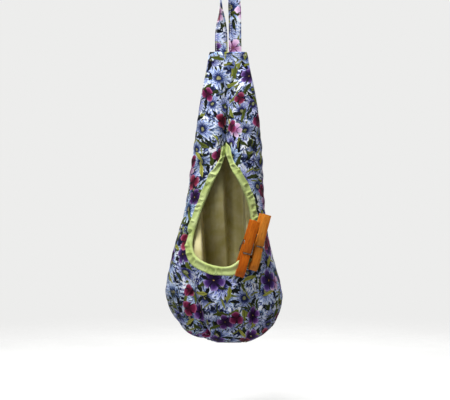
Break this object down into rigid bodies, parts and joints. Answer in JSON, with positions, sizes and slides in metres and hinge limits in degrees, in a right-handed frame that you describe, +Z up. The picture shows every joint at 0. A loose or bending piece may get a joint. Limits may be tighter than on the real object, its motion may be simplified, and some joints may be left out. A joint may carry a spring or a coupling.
{
  "type": "peg bag",
  "caption": "Pear-shaped lined cotton bag with a bound teardrop mouth in its front, hung by a strap loop, with wooden spring pegs clipped on its rim.",
  "frame": {"origin": "inside of the top of the strap loop, where a hook carries the bag", "axes": "+X to the right seen from the front, +Y away from the viewer, +Z up"},
  "size_m": [0.139, 0.0958, 0.465],
  "materials": {
    "printed_cotton": "woven cotton with a floral print in blue, purple, crimson and green on white",
    "lining_cotton": "plain cream woven cotton",
    "binding_cotton": "pale lime green folded bias tape",
    "peg_wood": "smooth orange-brown wood",
    "spring_wire": "dull drawn steel wire"
  },
  "bodies": {
    "strap": {"strap_loop": "printed_cotton"},
    "bag": {"outer_front": "printed_cotton", "outer_back": "printed_cotton", "lining_front": "lining_cotton", "lining_back": "lining_cotton", "mouth_binding": "binding_cotton", "strap_end_left": "printed_cotton", "strap_end_right": "printed_cotton"},
    "peg_1": {"peg_1_inner_lever": "peg_wood", "peg_1_spring": "spring_wire"},
    "peg_1_lever": {"peg_1_outer_lever": "peg_wood"},
    "peg_2": {"peg_2_inner_lever": "peg_wood", "peg_2_spring": "spring_wire"},
    "peg_2_lever": {"peg_2_outer_lever": "peg_wood"}
  },
  "joints": [
    {"name": "bag_swing", "type": "hinge", "parent": "strap", "child": "bag", "pos_m": [0, 0, -0.1137], "axis": [1, 0, 0], "range_deg": [-90, 90]},
    {"name": "peg_1_pull_off", "type": "slide", "parent": "bag", "child": "peg_1", "axis": [0.2872, -0.0682, 0.9554], "range_m": [0, 0.045]},
    {"name": "peg_1_squeeze", "type": "hinge", "parent": "peg_1", "child": "peg_1_lever", "pos_m": [0.02521, -0.0512, -0.34192], "axis": [-0.9392, -0.216, 0.2669], "range_deg": [0, 10], "stiffness_Nm_per_rad": 0.1, "springref_deg": -45.84, "deforming": ["peg_1_spring"]},
    {"name": "peg_2_pull_off", "type": "slide", "parent": "bag", "child": "peg_2", "axis": [0.2642, 0.0577, 0.9627], "range_m": [0, 0.045]},
    {"name": "peg_2_squeeze", "type": "hinge", "parent": "peg_2", "child": "peg_2_lever", "pos_m": [0.03849, -0.04236, -0.33492], "axis": [-0.8724, -0.4113, 0.264], "range_deg": [0, 10], "stiffness_Nm_per_rad": 0.1, "springref_deg": -45.84, "deforming": ["peg_2_spring"]}
  ]
}
